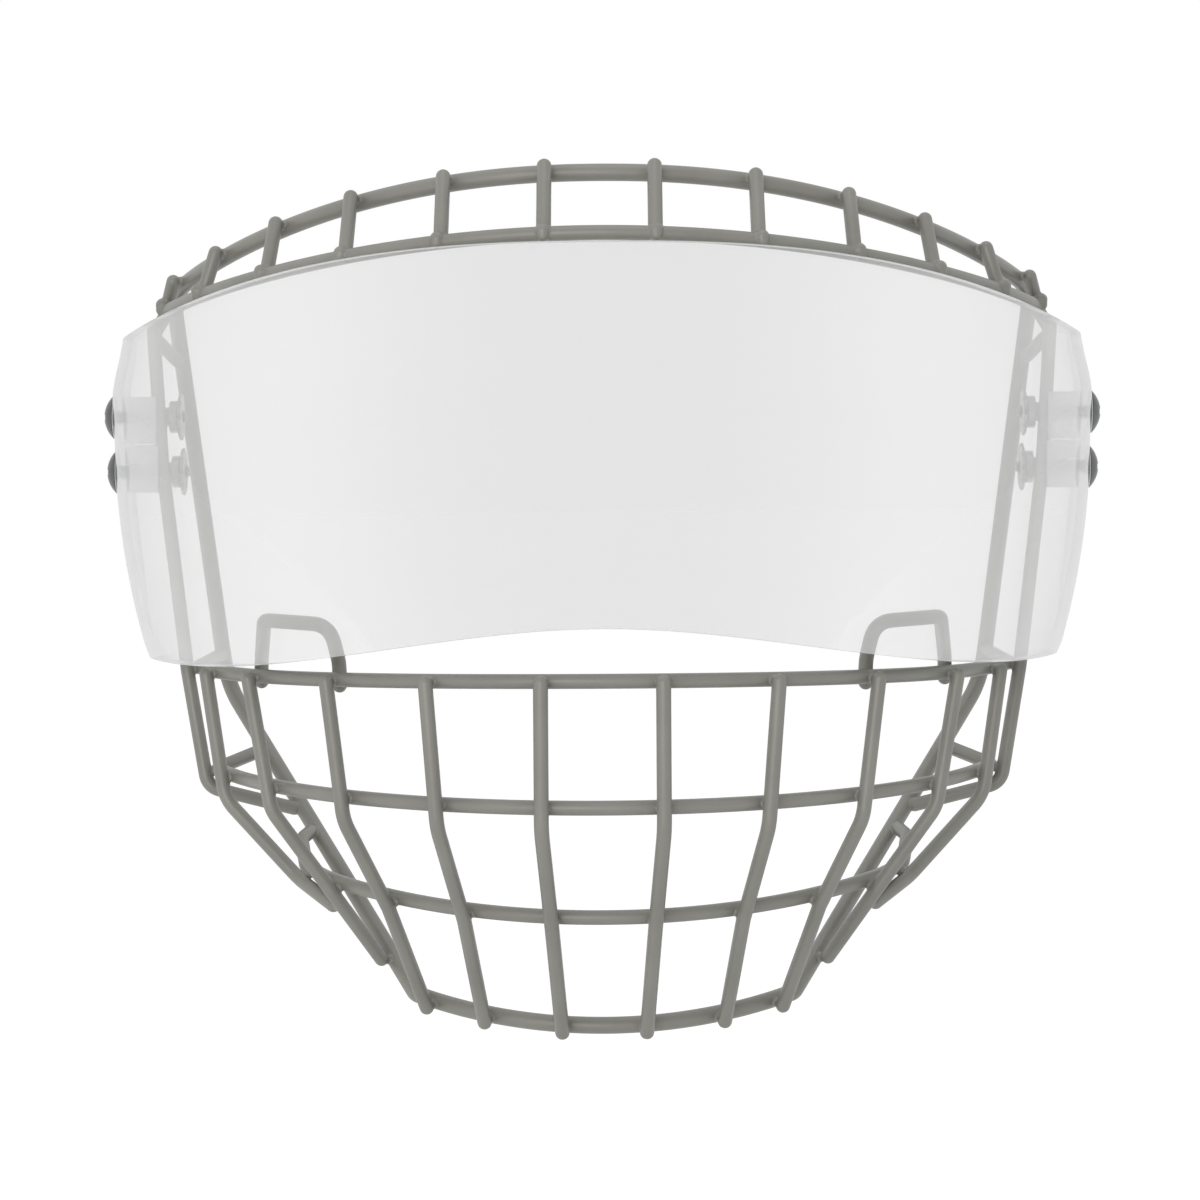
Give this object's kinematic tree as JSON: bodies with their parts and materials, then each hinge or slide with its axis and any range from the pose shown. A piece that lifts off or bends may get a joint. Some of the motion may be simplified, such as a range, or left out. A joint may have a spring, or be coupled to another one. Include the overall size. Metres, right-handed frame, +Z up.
{
  "type": "wire face guard",
  "caption": "Welded wire face cage with a clear wrap-round eye visor bolted on at the sides, worn on the front of a sports helmet.",
  "frame": {"origin": "on the mid plane, level with the middle of the two visor screws of each side and in line with them front to back", "axes": "+X to the wearer's left, -Y forward out of the face, +Z up"},
  "size_m": [0.2492, 0.1357, 0.2038],
  "materials": {
    "wire_coating": "satin warm grey powder coat on steel wire",
    "clear_visor": "clear polished polycarbonate",
    "clear_washers": "clear moulded plastic",
    "spacers": "translucent white moulded plastic",
    "screws": "dark plated steel",
    "nuts_and_washers": "zinc plated steel"
  },
  "bodies": {
    "guard": {"perimeter_ring": "wire_coating", "lower_brow_wire": "wire_coating", "upper_cage_wire": "wire_coating", "middle_cage_wire": "wire_coating", "lower_cage_wire": "wire_coating", "brow_tie_1_left": "wire_coating", "brow_tie_1_right": "wire_coating", "brow_tie_2_left": "wire_coating", "brow_tie_2_right": "wire_coating", "brow_tie_3_left": "wire_coating", "brow_tie_3_right": "wire_coating", "brow_tie_4_left": "wire_coating", "brow_tie_4_right": "wire_coating", "brow_tie_5_left": "wire_coating", "brow_tie_5_right": "wire_coating", "brow_tie_6_left": "wire_coating", "brow_tie_6_right": "wire_coating", "upright_1_left": "wire_coating", "upright_1_right": "wire_coating", "upright_2_left": "wire_coating", "upright_2_right": "wire_coating", "upright_3_left": "wire_coating", "upright_3_right": "wire_coating", "upright_4_left": "wire_coating", "upright_4_right": "wire_coating", "upright_5_left": "wire_coating", "upright_5_right": "wire_coating", "side_wire_left": "wire_coating", "side_wire_right": "wire_coating", "visor": "clear_visor", "visor_support_loop_left": "wire_coating", "visor_support_loop_right": "wire_coating", "clear_washer_upper_left": "clear_washers", "clear_washer_upper_right": "clear_washers", "inner_washer_upper_left": "nuts_and_washers", "inner_washer_upper_right": "nuts_and_washers", "t_nut_upper_left": "nuts_and_washers", "t_nut_upper_right": "nuts_and_washers", "spacer_upper_left": "spacers", "spacer_upper_right": "spacers", "clear_washer_lower_left": "clear_washers", "clear_washer_lower_right": "clear_washers", "inner_washer_lower_left": "nuts_and_washers", "inner_washer_lower_right": "nuts_and_washers", "t_nut_lower_left": "nuts_and_washers", "t_nut_lower_right": "nuts_and_washers", "spacer_lower_left": "spacers", "spacer_lower_right": "spacers"},
    "visor_screw_upper_left_body": {"visor_screw_upper_left": "screws"},
    "visor_screw_upper_right_body": {"visor_screw_upper_right": "screws"},
    "visor_screw_lower_left_body": {"visor_screw_lower_left": "screws"},
    "visor_screw_lower_right_body": {"visor_screw_lower_right": "screws"}
  },
  "joints": [
    {"name": "visor_screw_upper_left_turn", "type": "hinge", "parent": "guard", "child": "visor_screw_upper_left_body", "pos_m": [0.115, 0, 0.00685], "axis": [1, 0, 0], "continuous": true},
    {"name": "visor_screw_upper_right_turn", "type": "hinge", "parent": "guard", "child": "visor_screw_upper_right_body", "pos_m": [-0.115, 0, 0.00685], "axis": [-1, 0, 0], "continuous": true},
    {"name": "visor_screw_lower_left_turn", "type": "hinge", "parent": "guard", "child": "visor_screw_lower_left_body", "pos_m": [0.115, 0, -0.00685], "axis": [1, 0, 0], "continuous": true},
    {"name": "visor_screw_lower_right_turn", "type": "hinge", "parent": "guard", "child": "visor_screw_lower_right_body", "pos_m": [-0.115, 0, -0.00685], "axis": [-1, 0, 0], "continuous": true}
  ]
}
